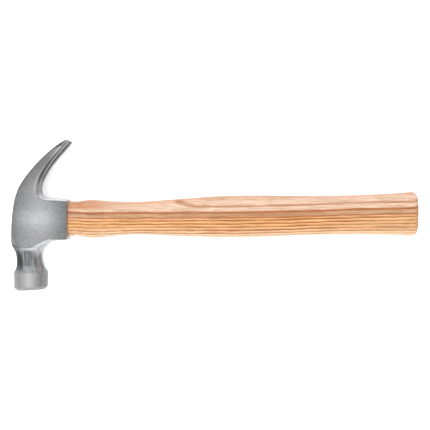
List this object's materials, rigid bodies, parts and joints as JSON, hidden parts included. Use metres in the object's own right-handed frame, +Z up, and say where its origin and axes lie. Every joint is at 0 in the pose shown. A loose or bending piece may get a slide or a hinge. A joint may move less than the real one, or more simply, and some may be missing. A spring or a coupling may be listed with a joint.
{
  "type": "claw hammer",
  "caption": "Curved-claw hammer: forged steel head with round poll and V nail slot, wedged onto an oval wooden handle; drives and pulls nails.",
  "frame": {"origin": "middle of the whole hammer's box in X and Y, at the lowest point of the box, with the hammer lying on its side", "axes": "+X along the handle towards the butt, +Y towards the claws, -Y towards the striking face, +Z up through the thickness of the head"},
  "size_m": [0.3288, 0.122, 0.0324],
  "materials": {
    "head_steel": "blasted grey cheeks and claws, ground neck and poll",
    "handle_wood": "straight-grained ash, clear lacquer",
    "wedge_wood": "bare hardwood end grain",
    "wedge_steel": "bare rolled steel"
  },
  "bodies": {
    "root": {"head": "head_steel", "handle": "handle_wood", "wood_wedge": "wedge_wood", "steel_wedge_1": "wedge_steel", "steel_wedge_2": "wedge_steel"}
  },
  "joints": []
}
